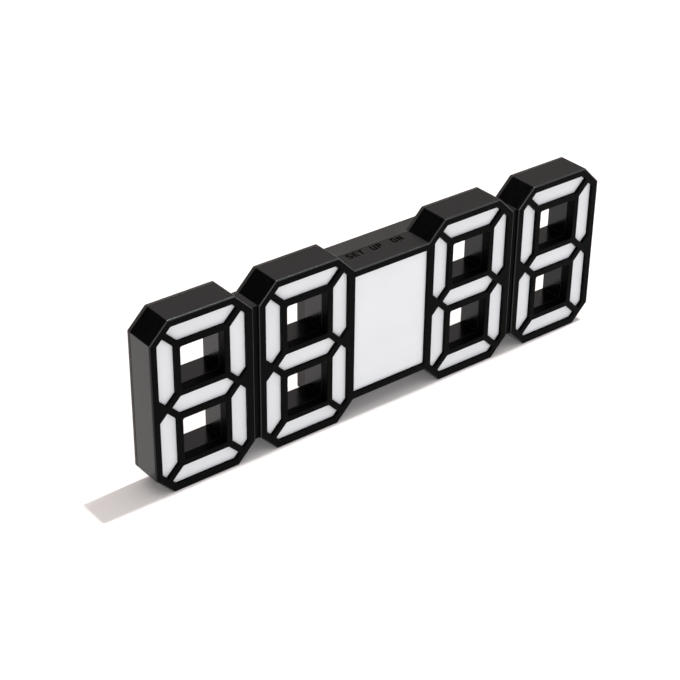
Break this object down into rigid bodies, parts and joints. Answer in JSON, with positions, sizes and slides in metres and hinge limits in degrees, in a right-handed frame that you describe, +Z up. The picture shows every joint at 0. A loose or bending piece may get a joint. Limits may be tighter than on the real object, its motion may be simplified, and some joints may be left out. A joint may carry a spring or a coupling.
{
  "type": "digital clock",
  "caption": "Black desk clock with open figure-eight digits of white segments, a plain white centre panel, and push buttons and a twist-off battery door behind.",
  "frame": {"origin": "on the surface the clock stands on, under the middle of its bounding box", "axes": "+Z up, -Y out of the front of the display, +X to the right seen from the front"},
  "size_m": [0.2662, 0.0268, 0.0888],
  "materials": {
    "case_black": "fine-grained black moulding, satin",
    "lens_white": "milk-white diffuser, satin",
    "frame_white": "white moulding",
    "board_green": "solder mask on glass fibre board",
    "part_black": "black moulding",
    "switch_beige": "moulded switch body",
    "steel": "drawn nickel-plated steel",
    "screw_zinc": "zinc-plated steel"
  },
  "bodies": {
    "case": {"front_case": "case_black", "rear_cover": "case_black", "digit_lens_1": "lens_white", "digit_lens_2": "lens_white", "digit_lens_3": "lens_white", "digit_lens_4": "lens_white", "panel_lens": "lens_white", "light_frame_1": "frame_white", "light_frame_2": "frame_white", "light_frame_3": "frame_white", "light_frame_4": "frame_white", "panel_light_frame": "frame_white", "display_board": "board_green", "control_board": "board_green", "board_link": "part_black", "case_screw_1": "screw_zinc", "case_screw_2": "screw_zinc", "case_screw_3": "screw_zinc", "case_screw_4": "screw_zinc", "case_screw_5": "screw_zinc", "case_screw_6": "screw_zinc", "case_screw_7": "screw_zinc", "case_screw_8": "screw_zinc", "board_screw_1": "screw_zinc", "board_screw_2": "screw_zinc", "board_screw_3": "screw_zinc", "board_screw_4": "screw_zinc", "set_switch": "switch_beige", "up_switch": "switch_beige", "down_switch": "switch_beige", "coin_cell": "steel", "cell_holder": "part_black", "power_socket": "steel", "sounder": "part_black"},
    "set_key": {"set_button": "part_black", "set_switch_stem": "part_black"},
    "up_key": {"up_button": "part_black", "up_switch_stem": "part_black"},
    "down_key": {"down_button": "part_black", "down_switch_stem": "part_black"},
    "door": {"battery_door": "part_black"}
  },
  "joints": [
    {"name": "set_press", "type": "slide", "parent": "case", "child": "set_key", "axis": [0, -1, 0], "range_m": [0, 0.0005], "stiffness_N_per_m": 3200},
    {"name": "up_press", "type": "slide", "parent": "case", "child": "up_key", "axis": [0, -1, 0], "range_m": [0, 0.0005], "stiffness_N_per_m": 3200},
    {"name": "down_press", "type": "slide", "parent": "case", "child": "down_key", "axis": [0, -1, 0], "range_m": [0, 0.0005], "stiffness_N_per_m": 3200},
    {"name": "door_twist", "type": "hinge", "parent": "case", "child": "door", "pos_m": [0, 0.0124, 0.0424], "axis": [0, 1, 0], "range_deg": [0, 45]}
  ]
}
